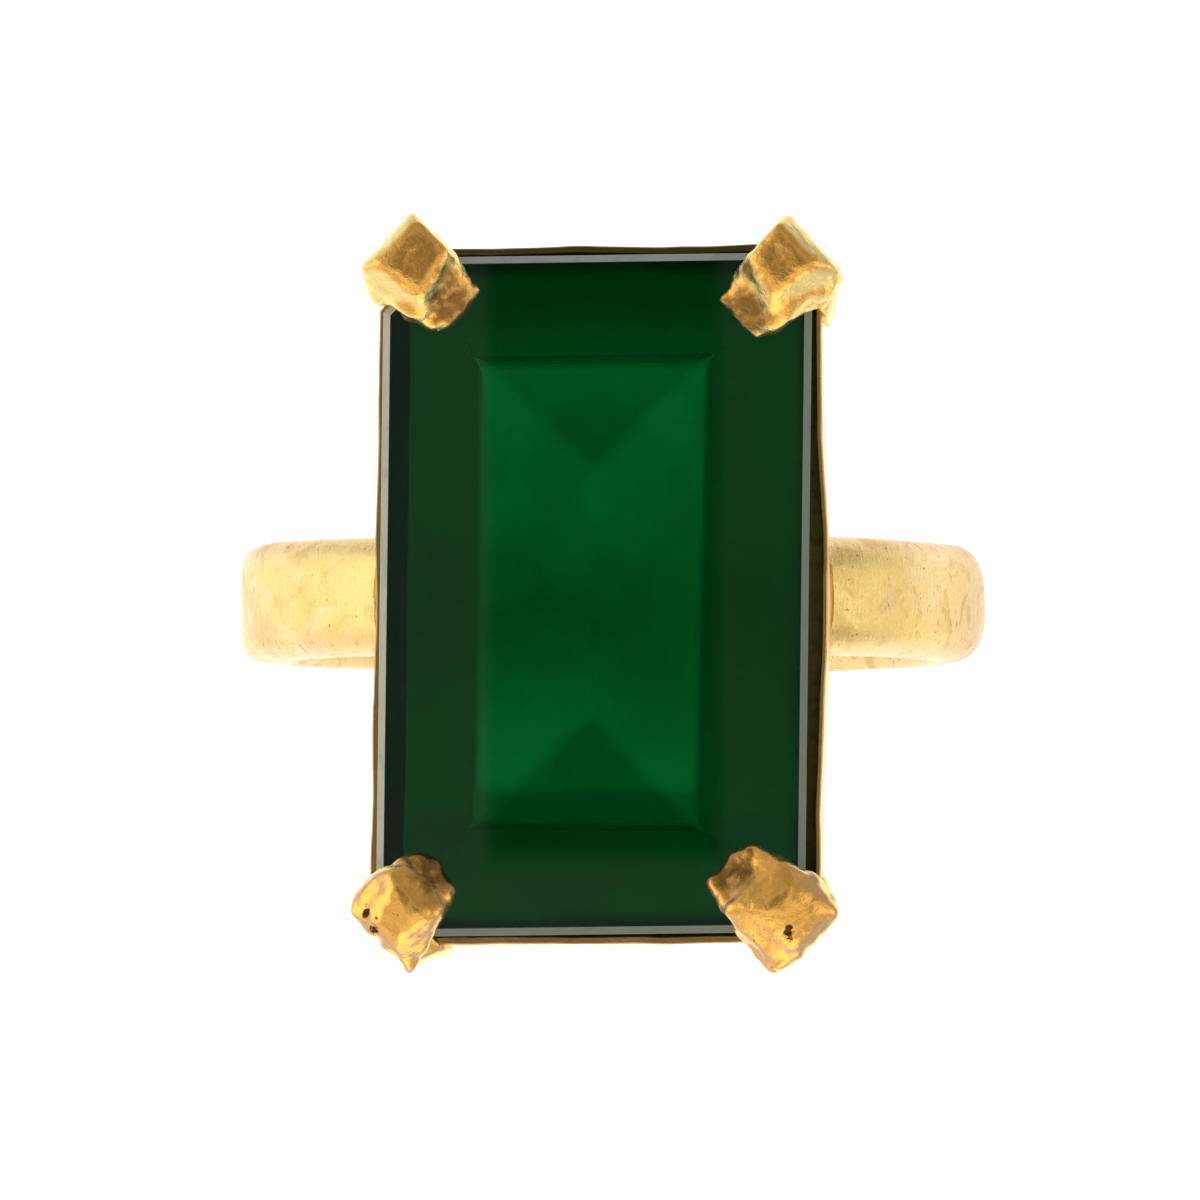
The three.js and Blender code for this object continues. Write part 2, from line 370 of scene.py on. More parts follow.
def dark_gold():
    """The collet's inner side: never polished, and painted dark next to the stone as shade, dull and not
    metallic there.
    """
    paint = Paint.new("dark_gold")
    spot = paint.place()
    crust = paint.cloud(spot, 2.5, detail=4.0)
    # painted shade: the upper inner wall turns dark, dull and not metallic
    by_rim = paint.split(spot)[2].ease(RIM_Z - 3.0, RIM_Z - 1.2)
    tone = paint.blend(by_rim, INSIDE_GOLD, INNER_PAINTED_SHADE)
    tone = paint.blend(crust.ease(0.45, 0.7) * 0.6, tone, DARK_SOOT)
    return paint.surface({
        "Base Color": tone, "Metallic": (1 - by_rim).clamped(),
        "Roughness": (0.4 + crust * 0.2 + by_rim * 0.4).clamped(),
        "Specular IOR Level": 0.15, "Normal": paint.bump(crust, 0.03),
    })


def solder_gold():
    paint = Paint.new("orange_solder")
    spot = paint.place()
    lumps = paint.cloud(spot, 3.0, detail=4.0)
    tone = paint.blend(lumps.ease(0.4, 0.65), SOLDER, DARK_SOLDER)
    return paint.surface({
        "Base Color": tone, "Metallic": 1.0, "Roughness": (0.3 + lumps * 0.2).clamped(),
        "Normal": paint.bump(lumps, 0.03),
    })


DEEP_GREEN = (0.0005, 0.070, 0.0118)
SHADED_GREEN = (0.0008, 0.050, 0.0095)
# painted light: the stone's back faces a lighter green than the rest of it
PAINTED_LIGHT_BACK_GREEN = (0.0006, 0.150, 0.0255)
ALMOST_BLACK = (0.0005, 0.010, 0.004)
STONE_IOR = 1.57
LEFT_EDGE_PAINTED_REFLECTION = (0.50, 0.47, 0.34)
RIGHT_EDGE_PAINTED_REFLECTION = (0.17, 0.21, 0.15)
BACK_EDGE_PAINTED_REFLECTION = (0.31, 0.36, 0.32)
FRONT_EDGE_PAINTED_REFLECTION = (0.12, 0.135, 0.085)
HAZY_EDGE = (0.16, 0.19, 0.15)


def green_stone(name, rough, tone=DEEP_GREEN, marks=(), painted_shade_bands=()):
    """Clear dark green; the faces under the table are ground less fine than the table itself.

    Marks are (centre, radius, depth). Bands are painted shade, dark strips across the stone, as (y of the
    middle, half width, depth).
    """
    paint = Paint.new(name)
    spot = paint.place()
    haze = paint.cloud(spot, 0.35, detail=3.0)
    wisps = paint.cloud(spot, 0.9, detail=5.0, rough=0.65, twist=1.2)
    shade = paint.blend(haze.ease(0.42, 0.62) * 0.4, tone, SHADED_GREEN)
    for centre, radius, depth in marks:
        ragged = paint.near(spot, centre) + (wisps - 0.5) * radius * 2.5
        shade = paint.blend(ragged.ease(radius, radius * 0.2) * depth, shade, ALMOST_BLACK)
    y = paint.split(spot)[1]
    # painted shade: near-black strips across the stone
    for middle, half, depth in painted_shade_bands:
        off = (y - middle).absolute()
        shade = paint.blend(off.ease(half, half * 0.3) * depth, shade, ALMOST_BLACK)
    return paint.surface({
        "Base Color": shade, "Metallic": 0.0,
        "Roughness": (rough + (wisps - 0.5) * rough * 0.5).clamped(),
        "IOR": STONE_IOR, "Transmission Weight": 1.0,
    })


def stone_edge():
    """The bevel and girdle, ground a little dull, and painted pale as a reflection: lighter at the left and
    the back, darker at the right and the front.
    """
    paint = Paint.new("stone_edge_painted_reflection")
    spot = paint.place()
    x, y, z = paint.split(spot)
    haze = paint.cloud(spot, 1.2, detail=3.0)
    # painted reflection: lighter at the left, greyer at the right; towards the ends, lighter at the back and
    # darker at the front
    tone = paint.blend(x.ease(-4.5, 4.5), LEFT_EDGE_PAINTED_REFLECTION, RIGHT_EDGE_PAINTED_REFLECTION)
    ends = paint.blend(y.ease(5.0, -5.0), BACK_EDGE_PAINTED_REFLECTION, FRONT_EDGE_PAINTED_REFLECTION)
    tone = paint.blend(y.absolute().ease(8.2, 8.7), tone, ends)
    tone = paint.blend(haze.ease(0.45, 0.7) * 0.3, tone, HAZY_EDGE)
    return paint.surface({
        "Base Color": tone, "Roughness": 0.25, "IOR": 1.54, "Coat Weight": 0.3, "Coat Roughness": 0.08,
    })


# ---------------------------------------------------------------- modelling tools

def tidied(bm, recalc=True):
    """Merges doubled vertices and turns the faces outwards."""
    bmesh.ops.remove_doubles(bm, verts=bm.verts, dist=1e-4)
    bmesh.ops.dissolve_degenerate(bm, edges=bm.edges, dist=1e-5)
    if recalc:
        bmesh.ops.recalc_face_normals(bm, faces=bm.faces)


def bevelled(bm, edges, width, segments):
    bmesh.ops.bevel(
        bm, geom=edges, affect="EDGES", offset=width, offset_type="OFFSET", segments=segments, profile=0.5,
        material=-1, clamp_overlap=True,
    )


def once(parts):
    """The parts without repeats, always in the same order."""
    return list(dict.fromkeys(parts))


def verts_of(parts):
    return once(vert for part in parts for vert in part.verts)


def of_kind(parts, kind):
    return [part for part in parts if isinstance(part, kind)]


def open_edges(parts):
    return [edge for edge in of_kind(parts, bmesh.types.BMEdge) if edge.is_boundary]


def made(name, bm, finishes, node, smooth_to=35.0):
    """A finished piece, scaled from millimetres, in place of its CAD node."""
    bmesh.ops.scale(bm, vec=(MM, MM, MM), verts=bm.verts)
    mesh = bpy.data.meshes.new(name)
    bm.to_mesh(mesh)
    bm.free()
    for finish in finishes:
        mesh.materials.append(finish)
    mesh.shade_smooth()
    mesh.set_sharp_from_angle(angle=math.radians(smooth_to))
    piece = bpy.data.objects.new(name, mesh)
    bpy.context.collection.objects.link(piece)
    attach(piece, "root")
    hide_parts(node)
    return piece


def racked(point):
    """Leans the head's sides out of square and sets it in its place."""
    return Vector((point.x + RACK * point.y, point.y + RACK * point.x, point.z)) + HEAD_SHIFT


def wobble(point, size, depth, seed):
    """A smooth hand-made unevenness of the given size and depth, in millimetres."""
    return noise.noise_vector(point / size + Vector((seed * 7.3, seed * 3.1, seed * 5.7))) * depth


class Octagon:
    """A loop round the oblong with cut corners, carried through extrusions on the same spots."""

    def __init__(self, bm, spacing=None, capped=False):
        self.bm = bm
        self.base = bm.verts.layers.float_vector.new("base")
        self.way = bm.verts.layers.float_vector.new("way")
        made_ring = bmesh.ops.create_circle(bm, cap_ends=capped, segments=8, radius=1.0)
        bmesh.ops.rotate(bm, matrix=Matrix.Rotation(math.radians(22.5), 3, "Z"), verts=made_ring["verts"])
        for vert in made_ring["verts"]:
            east, north = math.copysign(1, vert.co.x), math.copysign(1, vert.co.y)
            if abs(vert.co.x) > abs(vert.co.y):
                vert.co = (east * HALF_X, north * (HALF_Y - CORNER_CUT), 0)
                vert[self.way] = (east, north * (math.sqrt(2) - 1), 0)
            else:
                vert.co = (east * (HALF_X - CORNER_CUT), north * HALF_Y, 0)
                vert[self.way] = (east * (math.sqrt(2) - 1), north, 0)
        if spacing:
            for edge in list(bm.edges):
                outward = (edge.verts[0].co + edge.verts[1].co).xy
                along = (edge.verts[0].co - edge.verts[1].co).xy.normalized()
                outward = (outward - along * outward.dot(along)).normalized()
                cuts = max(1, round(edge.calc_length() / spacing))
                fresh = bmesh.ops.subdivide_edges(bm, edges=[edge], cuts=cuts)["geom_inner"]
                for vert in of_kind(fresh, bmesh.types.BMVert):
                    vert[self.way] = (*outward, 0)
        for vert in bm.verts:
            vert[self.base] = vert.co
        self.edges = list(bm.edges)
        self.first = self.edges

    def lay(self, out, z):
        """Puts the loop at a distance out from the girdle; either may depend on the spot."""
        for vert in verts_of(self.edges):
            base, way = vert[self.base], vert[self.way]
            away = out(base) if callable(out) else out
            level = z(base + way * away) if callable(z) else z
            vert.co = (base.x + way.x * away, base.y + way.y * away, level)

    def step(self, out, z):
        """Carries the loop on by one row of faces."""
        self.edges = open_edges(bmesh.ops.extrude_edge_only(self.bm, edges=self.edges)["geom"])
        self.lay(out, z)

    def close(self):
        """Joins the last loop to the first."""
        bmesh.ops.bridge_loops(self.bm, edges=self.first + self.edges)


# ---------------------------------------------------------------- stone

ON_EDGE, ON_BACK, ON_STEP = 1, 2, 3
MARKS = [((-1.5, -0.2, 10.4), 1.3, 0.45), ((-0.2, 3.7, 10.0), 0.8, 0.4)]
STREAK = [((-2.9, -4.0, 10.6), 0.7, 0.7)]
# painted shade: dark strips across the back and step faces
BACK_PAINTED_SHADE_BANDS = [(-5.75, 0.75, 0.7), (6.15, 0.5, 0.15)]
STEP_PAINTED_SHADE_BANDS = [(-6.3, 0.7, 0.4), (8.4, 2.2, 0.75)]


def lowest(part):
    return min(vert.co.z for vert in part.verts)


def cut_stone():
    """A flat table, a thin bevel and girdle, a steep step to the hip, and a roof down to the keel."""
    bm = bmesh.new()
    ring = Octagon(bm, capped=True)
    ring.lay(-BEVEL, TABLE_Z)
    ring.step(0, GIRDLE_TOP_Z)
    ring.step(0, GIRDLE_Z)
    for face in bm.faces:
        if lowest(face) < TABLE_Z - 0.01:
            face.material_index = ON_EDGE
    ring.step(-STEEP_STEP, HIP_Z)
    hip = verts_of(ring.edges)
    for vert in hip:
        vert.co = vert.co * HIP_TRIM + HIP_SHIFT
    ring.step(-STEEP_STEP, HIP_Z)
    for vert in verts_of(ring.edges):
        vert.co = (HIP_SHIFT.x, math.copysign(KEEL_HALF, vert.co.y), KEEL_Z)
    hip.sort(key=lambda vert: vert.co.x)
    bmesh.ops.remove_doubles(bm, verts=hip, dist=0.2)
    tidied(bm)
    for face in bm.faces:
        if lowest(face) < HIP_Z - 0.1:
            face.material_index = ON_BACK
        elif lowest(face) < GIRDLE_Z - 0.01:
            face.material_index = ON_STEP
    low_edges = [edge for edge in bm.edges if max(vert.co.z for vert in edge.verts) < HIP_Z + 0.01]
    bevelled(bm, [edge for edge in low_edges if edge.calc_length() > 0.2], 0.24, 5)
    bevelled(bm, [edge for edge in bm.edges if lowest(edge) > GIRDLE_Z - 0.01], 0.018, 2)
    for vert in bm.verts:
        vert.co = racked(vert.co) + STONE_SHIFT
    finishes = [
        green_stone("green_stone_table", 0.012), stone_edge(),
        # painted light: a lighter green on the back faces; painted shade: dark bands across back and step
        # faces
        green_stone("green_stone_back", 0.46, PAINTED_LIGHT_BACK_GREEN, MARKS, BACK_PAINTED_SHADE_BANDS),
        green_stone("green_stone_step", 0.42, DEEP_GREEN, STREAK, STEP_PAINTED_SHADE_BANDS),
    ]
    return made("stone_cut", bm, finishes, "stone", smooth_to=6.0)


# ---------------------------------------------------------------- collet and bearer

def arch(point):
    """The height of the finger hole's arch above a spot."""
    return math.sqrt(max(0.0, SHANK_IN_R ** 2 - point.x ** 2))


def bow(base):
    """How far the wall swells out: pressed in along the right-hand side, but not at its middle."""
    if base.x > HALF_X - 0.1:
        return 0.19 * math.exp(-((base.y / 3.6) ** 2)) - 0.04 - RACK * base.y
    return -0.005 * base.y if base.x < 0.1 - HALF_X else 0.0


def collet_wall(finish, inside):
    """Up the outer side from the arched foot, over the rim and down the inner side."""
    bm = bmesh.new()
    ring = Octagon(bm, spacing=0.25)
    shoulder, inner_top = RIM_Z - RIM_ROUND, RIM_Z - 1.0

    def outer(extra):
        return lambda base: WALL_OUT + extra + bow(base)

    def flat_edge(base):
        """How far out the rim reaches inwards: least along the right-hand side."""
        if base.x > HALF_X - 0.1:
            return WALL_OUT - 0.11 + bow(base)
        return WALL_OUT - (0.22 if base.x < 0.1 - HALF_X else 0.17) + bow(base)

    ring.lay(outer(0), arch)
    for row in range(1, WALL_ROWS):
        part = row / WALL_ROWS
        ring.step(outer(0), lambda spot, part=part: arch(spot) * (1 - part) + shoulder * part)
    ring.step(outer(0), shoulder)
    ring.step(outer(-0.03), RIM_Z)
    ring.step(flat_edge, RIM_Z)
    ring.step(lambda base: flat_edge(base) - 0.02, RIM_Z - 0.04)
    shown = set(bm.faces)
    ring.step(outer(-0.14), RIM_Z - 0.9)
    for row in range(1, WALL_ROWS + 1):
        part = row / WALL_ROWS
        ring.step(0.02, lambda spot, part=part: arch(spot) * part + inner_top * (1 - part))
    for face in bm.faces:
        face.material_index = 0 if face in shown else 1
    ring.close()
    tidied(bm)
    foot = 6.0
    for vert in bm.verts:
        height = (vert.co.z - foot) / (RIM_Z - foot)
        vert.co += wobble(vert.co, 2.2, 0.05, 1) * Vector((1, 1, 0.8)) * (0.4 + 0.6 * height)
        vert.co += wobble(vert.co, 0.7, 0.018, 2)
        vert.co = racked(vert.co)
    return made("collet_wall", bm, [finish, inside], "collet")


def seat_ledge(finish):
    """The ledge that the stone sits on, joined to the wall all round."""
    bm = bmesh.new()
    ring = Octagon(bm, spacing=0.6)

    def joined(base):
        return WALL_OUT - 0.11 + bow(base)

    ring.lay(joined, BEARER_LOW.z)
    ring.step(joined, BEARER_HIGH.z)
    ring.step(-LEDGE_WIDTH, BEARER_HIGH.z)
    ring.step(-LEDGE_WIDTH, BEARER_LOW.z)
    ring.close()
    tidied(bm)
    bevelled(bm, [edge for edge in bm.edges if edge.calc_face_angle(0) > 1.0], 0.05, 2)
    for vert in bm.verts:
        vert.co += wobble(vert.co, 1.4, 0.02, 3)
        vert.co = racked(vert.co)
    return made("seat_ledge", bm, [finish], "bearer")


# ---------------------------------------------------------------- shank

def signed_power(value, power):
    return math.copysign(abs(value) ** power, value)


def shank_hoop(finish):
    """One D-shaped section spun round the finger; it is squarer at the left than at the right."""
    bm = bmesh.new()
    turn_of = bm.verts.layers.float.new("turn")
    for vert in bmesh.ops.create_circle(bm, segments=44, radius=0.6)["verts"]:
        vert[turn_of] = math.atan2(vert.co.y, vert.co.x)
        vert.co = (SHANK_IN_R + SHANK_THICK / 2 + vert.co.x, vert.co.y, 0)
    start = math.radians(SHANK_OPEN_DEG / 2 - 90)
    bmesh.ops.rotate(bm, matrix=Matrix.Rotation(start, 3, "Y"), verts=bm.verts)
    bmesh.ops.spin(
        bm, geom=bm.verts[:] + bm.edges[:], axis=(0, 1, 0), cent=(0, 0, 0),
        angle=math.radians(360 - SHANK_OPEN_DEG), steps=240, use_merge=False,
    )
    outer_rise = SHANK_OUT_R - SHANK_IN_R - SHANK_INNER_ROUND
    for vert in bm.verts:
        around = math.atan2(vert.co.z, vert.co.x)
        turn = vert[turn_of]
        to_right = 0.5 + 0.5 * math.cos(around)
        power = 2 / (4.2 - 1.3 * to_right)
        rise = signed_power(math.cos(turn), power if math.cos(turn) > 0 else 0.35)
        side = signed_power(math.sin(turn), power)
        radius = SHANK_IN_R + SHANK_INNER_ROUND + rise * (outer_rise if rise > 0 else SHANK_INNER_ROUND)
        vert.co = (radius * math.cos(around), side * SHANK_HALF, radius * math.sin(around))
    bmesh.ops.holes_fill(bm, edges=open_edges(bm.edges), sides=0)
    bmesh.ops.recalc_face_normals(bm, faces=bm.faces)
    stop = COLLET_HIGH.x + 0.02
    for side in (1, -1):
        middles = [(face, face.calc_center_median()) for face in bm.faces]
        upper = [face for face, middle in middles if middle.z > 2 and side * middle.x > 0]
        parts = upper + once(edge for face in upper for edge in face.edges) + verts_of(upper)
        cut = bmesh.ops.bisect_plane(
            bm, geom=parts, plane_co=(side * stop, 0, 0), plane_no=(-side, 0, 0), clear_outer=True,
        )
        bmesh.ops.holes_fill(bm, edges=of_kind(cut["geom_cut"], bmesh.types.BMEdge), sides=0)
    tidied(bm)
    for vert in bm.verts:
        if abs(vert.co.x) > stop + 0.01 or vert.co.z < 0:
            vert.co += wobble(vert.co, 3.0, 0.05, 4) + wobble(vert.co, 0.9, 0.012, 5)
        vert.co.y += SHANK_LEAN * min(0.0, vert.co.z)
    return made("shank_hoop", bm, [finish], "shank", smooth_to=50.0)


# ---------------------------------------------------------------- solder

def solder_run(name, node, side, finish):
    """A bead along the seam between collet and shank, thin at both ends."""
    bm = bmesh.new()
    section = bmesh.ops.create_circle(bm, segments=14, radius=1.0)["verts"]
    wall = COLLET_HIGH.x
    top = math.sqrt(SHANK_OUT_R ** 2 - wall ** 2)
    for vert in section:
        turn = math.atan2(vert.co.y, vert.co.x)
        vert.co = (0.26 * math.cos(turn) - 0.04, 0, 0.36 * math.sin(turn) + 0.02)
        if vert.co.x > 0 and vert.co.z > -0.1:
            vert.co.x *= 0.55
            vert.co.z *= 0.75
    edges = bm.edges[:]
    half, steps = SOLDER_HIGH.y, 18
    bmesh.ops.translate(bm, vec=(0, -half, 0), verts=bm.verts)
    levels = [section]
    for step in range(steps):
        fresh = bmesh.ops.extrude_edge_only(bm, edges=edges)["geom"]
        edges = open_edges(fresh)
        levels.append(of_kind(fresh, bmesh.types.BMVert))
        bmesh.ops.translate(bm, vec=(0, 2 * half / steps, 0), verts=levels[-1])
    for step, level in enumerate(levels):
        along = 2 * step / steps - 1
        size = 0.12 + 0.88 * math.sqrt(max(0, 1 - along ** 2))
        for vert in level:
            vert.co.x *= size
            vert.co.z *= size
    bmesh.ops.holes_fill(bm, edges=open_edges(bm.edges), sides=0)
    for vert in bm.verts:
        vert.co = (side * (wall + 0.09 + vert.co.x), vert.co.y - 0.05, top + 0.02 + vert.co.z)
        vert.co += wobble(vert.co, 0.5, 0.03, 6 + side)
    tidied(bm)
    return made(name, bm, [finish], node, smooth_to=80.0)


# ---------------------------------------------------------------- claws

def filed_block(outline, low, high, flats=(), spare=0.0):
    """A block with a convex outline, cut back by flats, each a point and the way the flat faces.

    The spare is left on all round, for the rounding that follows.
    """
    bm = bmesh.new()
    bmesh.ops.create_cube(bm, size=8.0)
    outline = [(d + math.copysign(spare, d), t + math.copysign(spare, t)) for d, t in outline]
    centre = sum((Vector((*corner, 0)) for corner in outline), Vector()) / len(outline)
    sides = []
    for first, second in zip(outline, outline[1:] + outline[:1]):
        first, second = Vector((*first, 0)), Vector((*second, 0))
        facing = (second - first).cross(Vector((0, 0, 1)))
        if facing.dot(first - centre) < 0:
            facing.negate()
        sides.append((first, facing))
    ends = [((0, 0, low), (0, 0, -1)), ((0, 0, high), (0, 0, 1))]
    bmesh.ops.translate(bm, vec=(0, 0, (low + high) / 2), verts=bm.verts)
    for point, facing in [*sides, *ends, *flats]:
        whole = bm.verts[:] + bm.edges[:] + bm.faces[:]
        cut = bmesh.ops.bisect_plane(bm, geom=whole, plane_co=point, plane_no=facing, clear_outer=True)
        bmesh.ops.holes_fill(bm, edges=of_kind(cut["geom_cut"], bmesh.types.BMEdge), sides=0)
    return bm


def gathered(blocks):
    """All the blocks in one mesh."""
    whole = bmesh.new()
    for block in blocks:
        scrap = bpy.data.meshes.new("scrap")
        block.to_mesh(scrap)
        block.free()
        whole.from_mesh(scrap)
        bpy.data.meshes.remove(scrap)
    return whole


# In a claw's own frame X points outwards along the corner, Y runs across it and Z up. Each claw has
# the outlines of its head and of the lip under its nose, the flats filed on the head, how far its
# post reaches to either side along the collet, its pits, and the spots where shade is painted on it.
CLAWS = {
    "claw_back_left": {
        "side": (-1, 1),
        "head": [(1.47, -0.62), (1.60, 1.28), (-0.50, 1.20), (-0.54, -0.05), (0.60, -1.02)],
        "lip": [(0.3, -0.62), (-0.05, -0.68), (-0.97, -0.32), (-1.12, 0.06), (-1.0, 1.12), (0.3, 1.1)],
        "flats": [
            ((0, 0, 14.18), (-0.06, 0.05, 1)),
            ((0.3, -0.20, 14.10), (-0.14, -0.72, 0.62)),
            ((0.0, 0.7, 14.05), (-0.78, 0.22, 0.56)),
            ((1.54, 0, 13.95), (0.8, 0, 0.6)),
        ],
        "post": (-1.0, -0.60, 0.98, 1.5),
        "pits": [],
        "painted_shade_spots": [((-0.12, 0.80, 13.85), 0.40, 0.7), ((-0.70, 0.4, 13.3), 0.95, 0.9)],
    },
    "claw_back_right": {
        "side": (1, 1),
        "head": [(1.64, -1.14), (1.56, 0.50), (1.46, 1.0), (0.50, 1.18), (-0.58, 0.48), (-0.68, -1.0)],
        "lip": [(0.3, -0.88), (-1.12, -0.84), (-1.14, 0.42), (-0.38, 0.74), (0.3, 0.7)],
        "flats": [
            ((0, 0, 14.18), (-0.09, -0.05, 1)),
            ((0.4, 0.24, 14.10), (-0.16, 0.72, 0.62)),
            ((-0.05, -0.6, 14.05), (-0.78, -0.2, 0.56)),
            ((1.56, 0, 13.95), (0.8, 0, 0.6)),
        ],
        "post": (-1.4, -0.95, 0.95, 1.5),
        "pits": [],
        "painted_shade_spots": [((-0.10, -0.80, 13.85), 0.40, 0.7), ((-0.85, -0.2, 13.3), 0.95, 0.9)],
    },
    "claw_front_left": {
        "side": (-1, -1),
        "head": [
            (1.55, 0.92), (1.57, -1.20), (-0.26, -0.60), (-0.46, 0.10), (-0.26, 0.82), (0.32, 1.26),
            (1.06, 1.22),
        ],
        "lip": [(0.3, 1.0), (-0.42, 1.04), (-0.84, 0.74), (-0.95, 0.29), (-0.70, -0.52), (0.3, -0.6)],
        "flats": [
            ((0.3, 0, 14.12), (0.20, 0.04, 1)),
            ((0.05, 0, 14.02), (-0.55, 0.05, 0.83)),
            ((0.8, 0.5, 13.98), (0.34, 0.50, 0.78)),
            ((0.8, -0.45, 13.98), (0.20, -0.62, 0.76)),
            ((1.35, 0, 13.75), (0.75, 0, 0.66)),
        ],
        "post": (-1.5, -1.05, 0.85, 1.25),
        "pits": [((1.27, 0.68, 13.55), 0.14), ((1.42, 0.25, 13.6), 0.16), ((1.18, 0.40, 13.75), 0.09)],
        "painted_shade_spots": [((-0.68, 0.3, 13.35), 0.90, 0.95), ((-0.15, -0.3, 13.8), 0.40, 0.35)],
    },
    "claw_front_right": {
        "side": (1, -1),
        "head": [
            (1.38, 1.50), (1.56, 0.40), (1.40, -0.88), (0.40, -1.14), (-0.48, -0.76), (-1.04, -0.24),
            (-0.98, 1.08), (0.2, 1.34),
        ],
        "lip": [(0.3, 1.0), (-1.48, 1.0), (-1.53, -0.13), (-1.37, -0.50), (-0.40, -0.78), (0.3, -0.8)],
        "flats": [
            ((0.3, 0, 14.14), (0.20, 0.0, 1)),
            ((-0.25, 0, 14.06), (-0.42, -0.08, 0.9)),
            ((-0.72, 0, 13.8), (-0.85, 0, 0.5)),
            ((0.6, 0.62, 13.98), (0.20, 0.60, 0.78)),
            ((0.6, -0.62, 13.98), (0.10, -0.62, 0.78)),
            ((1.22, 0, 13.9), (0.7, 0, 0.7)),
        ],
        "post": (-1.4, -0.85, 1.0, 1.4),
        "pits": [((0.93, 0.40, 13.98), 0.15), ((0.84, 0.30, 14.0), 0.10), ((1.06, 0.48, 13.95), 0.10)],
        "painted_shade_spots": [((-1.32, 0.3, 13.3), 0.90, 0.95), ((-0.75, 0.3, 13.7), 0.5, 0.35)],
    },
}


def claw_blocks(facts):
    """The head, the lip under its nose, the post outside the corner and the neck between them."""
    above = TABLE_Z + 0.01
    nose_d = min(d for d, t in facts["head"])
    undercut = ((nose_d + 0.04, 0, 13.3), (-0.9, 0, -0.42))
    head_flats = facts["flats"] + [undercut]
    head = filed_block(facts["head"], above, CLAW_BLOCK_TOP_Z, head_flats, CLAW_SPARE)
    lip_d = min(d for d, t in facts["lip"])
    lip_slope = ((lip_d, 0, above + 0.30), (-0.45, 0, 0.9))
    lip = filed_block(facts["lip"], above - 0.05, above + 0.7, [lip_slope], CLAW_SPARE)
    neck_outline = [(max(d, CLAW_JOINT_D), t * 0.96) for d, t in facts["head"]] + [(CLAW_JOINT_D, 0.0)]
    neck = filed_block(neck_outline, RIM_Z - 0.2, above + 0.4)
    inner_low, outer_low, outer_high, inner_high = facts["post"]
    post_outline = [
        (CLAW_JOINT_D, inner_low), (POST_FACE_D, outer_low), (POST_FACE_D, outer_high),
        (CLAW_JOINT_D, inner_high),
    ]
    post_flats = [
        ((1.5, 0, POST_FOOT_Z + 1.2), (0.88, 0, -0.48)),
        ((0.6, 1.15, RIM_Z + 0.15), (0, 0.6, 0.8)),
        ((0.6, -1.15, RIM_Z + 0.15), (0, -0.6, 0.8)),
    ]
    post = filed_block(post_outline, POST_FOOT_Z, RIM_Z + 0.3, post_flats)
    return [head, lip, post, neck]


def cast_in_one(bm):
    """The blocks grown together in one skin, with all its edges rounded."""
    bmesh.ops.scale(bm, vec=(MM, MM, MM), verts=bm.verts)
    rough = bpy.data.meshes.new("rough")
    bm.to_mesh(rough)
    bm.free()
    blank = bpy.data.objects.new("blank", rough)
    bpy.context.collection.objects.link(blank)
    cast = blank.modifiers.new("cast", "REMESH")
    cast.mode = "VOXEL"
    cast.voxel_size = CLAW_VOXEL * MM
    soften = blank.modifiers.new("soften", "SMOOTH")
    soften.factor = 0.5
    soften.iterations = CLAW_ROUNDS
    ready = blank.evaluated_get(bpy.context.evaluated_depsgraph_get())
    body = bmesh.new()
    body.from_mesh(ready.to_mesh())
    ready.to_mesh_clear()
    bpy.data.objects.remove(blank)
    bpy.data.meshes.remove(rough)
    bmesh.ops.scale(body, vec=(1 / MM, 1 / MM, 1 / MM), verts=body.verts)
    body.normal_update()
    return body


def claw(node, order):
    facts = CLAWS[node]
    east, north = facts["side"]
    bm = gathered(claw_blocks(facts))
    tidied(bm, recalc=False)
    seat_x, seat_y = HALF_X - CLAW_SEAT_INSET, HALF_Y - CLAW_SEAT_INSET
    seat_point = Vector((east * seat_x, north * seat_y, 0)) + CLAW_SHIFT
    seat = Matrix.Translation(seat_point) @ Matrix.Rotation(math.atan2(north, east), 4, "Z")
    # Y in the claw's frame runs the other way from Y in the seat's
    seated = seat @ Matrix.Diagonal((1, -1, 1, 1))
    for vert in bm.verts:
        vert.co = seated @ vert.co
    bmesh.ops.reverse_faces(bm, faces=bm.faces)
    body = cast_in_one(bm)

    def placed(d, t, z):
        return seat @ Vector((d, -t, z))

    hollows = [(placed(*centre), radius) for centre, radius in facts["pits"]]
    # the painted shade spots, set in place with the claw
    painted_shade_spots = [(tuple(placed(*centre)), radius, depth) for centre, radius, depth in facts["painted_shade_spots"]]
    for vert in body.verts:
        on_lip = max(0.0, min(1.0, (TABLE_Z + 0.75 - vert.co.z) / 0.3)) if vert.co.z > TABLE_Z else 0.0
        dent = noise.noise(vert.co / 0.6 + Vector((order * 9.1, 0, 0))) * 0.032
        dent += noise.noise(vert.co / 0.4 + Vector((0, 0, order * 3.3))) * 0.09 * on_lip
        dent += noise.noise(vert.co / 0.22 + Vector((0, order * 4.7, 0))) * 0.012
        for hollow, radius in hollows:
            ragged = (vert.co - hollow).length + noise.noise(vert.co / 0.12) * radius * 0.5
            dent -= 0.10 * max(0.0, 1 - ragged / radius)
        if vert.co.z > TABLE_Z + 0.05 or vert.co.z < RIM_Z:
            vert.co += vert.normal * dent
    pits = [(tuple(hollow), radius) for hollow, radius in hollows]
    # painted light on the back claws' leaning faces, painted shade on the front claws'
    lean_painted_shading = BACK_LEAN_PAINTED_LIGHT_GOLD if north > 0 else FRONT_LEAN_PAINTED_SHADE_GOLD
    finish = worked_gold(f"gold_{node}", lean_painted_shading=lean_painted_shading, painted_shade_spots=painted_shade_spots, pits=pits)
    return made(f"{node}_cast", body, [finish], node, smooth_to=60.0)


# ---------------------------------------------------------------- the ring

